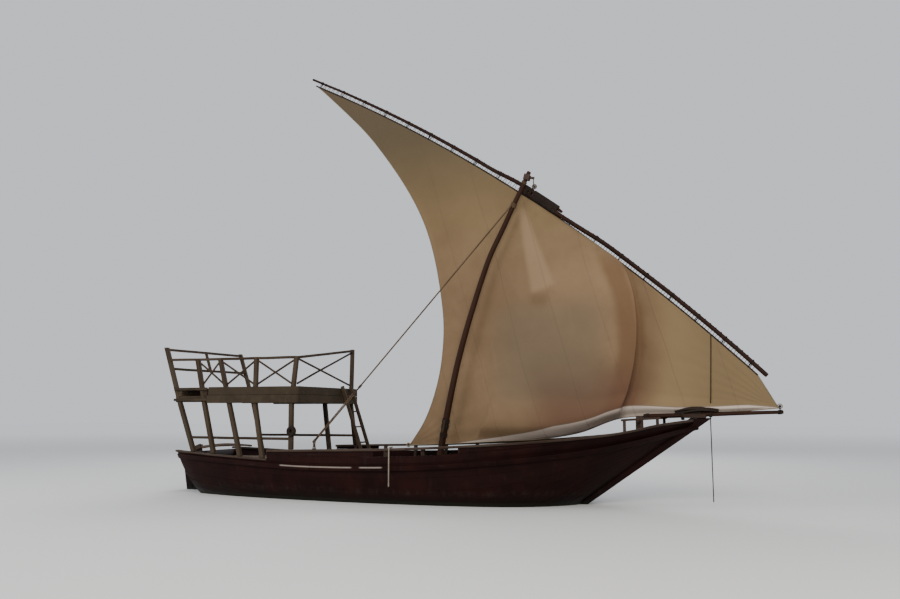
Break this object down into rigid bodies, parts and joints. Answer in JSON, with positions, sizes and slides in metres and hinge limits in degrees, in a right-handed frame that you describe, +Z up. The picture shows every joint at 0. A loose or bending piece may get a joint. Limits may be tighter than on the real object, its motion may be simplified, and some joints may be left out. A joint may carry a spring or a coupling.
{
  "type": "dhow sailing boat",
  "caption": "Wooden lateen-rigged working dhow afloat, with an open planked hull, raked mast, bowed yard, set sail and a railed platform on posts over the stern.",
  "frame": {"origin": "on the centreline amidships at the waterline", "axes": "+X forward to the bow, +Y to port, +Z up"},
  "size_m": [11.1081, 2.8667, 8.7796],
  "materials": {
    "hull_paint": "worn dark maroon paint on planks",
    "bare_timber": "weathered bare timber",
    "platform_timber": "weathered dark timber",
    "fascia_paint": "worn dark grey paint on boards",
    "spar_wood": "smooth worn pole",
    "canvas": "stained cotton canvas",
    "rope": "natural fibre rope",
    "iron": "rusted forged iron"
  },
  "bodies": {
    "hull": {"keel": "hull_paint", "stem_post": "hull_paint", "planking_starboard": "hull_paint", "wale_starboard": "hull_paint", "wash_strake_starboard": "hull_paint", "cap_rail_starboard": "bare_timber", "quarter_cap_starboard": "bare_timber", "planking_port": "hull_paint", "wale_port": "hull_paint", "wash_strake_port": "hull_paint", "cap_rail_port": "bare_timber", "quarter_cap_port": "bare_timber", "stern_post": "hull_paint", "transom": "hull_paint", "ribs_and_keelson": "bare_timber", "mast": "spar_wood", "thwarts": "bare_timber", "aft_deck": "bare_timber", "fore_deck": "bare_timber", "floor_boards": "bare_timber", "mast_step": "bare_timber", "bow_rail_starboard": "bare_timber", "bow_rail_port": "bare_timber", "bitt": "bare_timber", "bowsprit": "spar_wood", "bowsprit_chock": "bare_timber", "halyard": "rope", "stay": "rope", "platform_frame_starboard": "platform_timber", "platform_frame_port": "platform_timber", "platform_floor": "platform_timber", "fascia_starboard": "fascia_paint", "fascia_port": "fascia_paint", "fascia_front": "fascia_paint", "platform_front_rail": "platform_timber", "stern_rail": "platform_timber", "ladder": "platform_timber", "gudgeon_1": "iron", "gudgeon_2": "iron", "gudgeon_3": "iron", "side_rope": "rope", "bow_line": "rope"},
    "rudder": {"rudder": "hull_paint", "tiller": "bare_timber"},
    "yard": {"yard_lower": "spar_wood", "yard_upper": "spar_wood", "yard_sling": "rope", "sail": "canvas", "clew_strop": "rope"}
  },
  "joints": [
    {"name": "rudder_steer", "type": "hinge", "parent": "hull", "child": "rudder", "pos_m": [-4.565, 0, 0], "axis": [-0.3593, 0, 0.9332], "range_deg": [-35, 35]},
    {"name": "yard_swing", "type": "hinge", "parent": "hull", "child": "yard", "pos_m": [5.76, 0, 1.588], "axis": [0.7098, -0.0251, -0.704], "range_deg": [0, 25]}
  ]
}
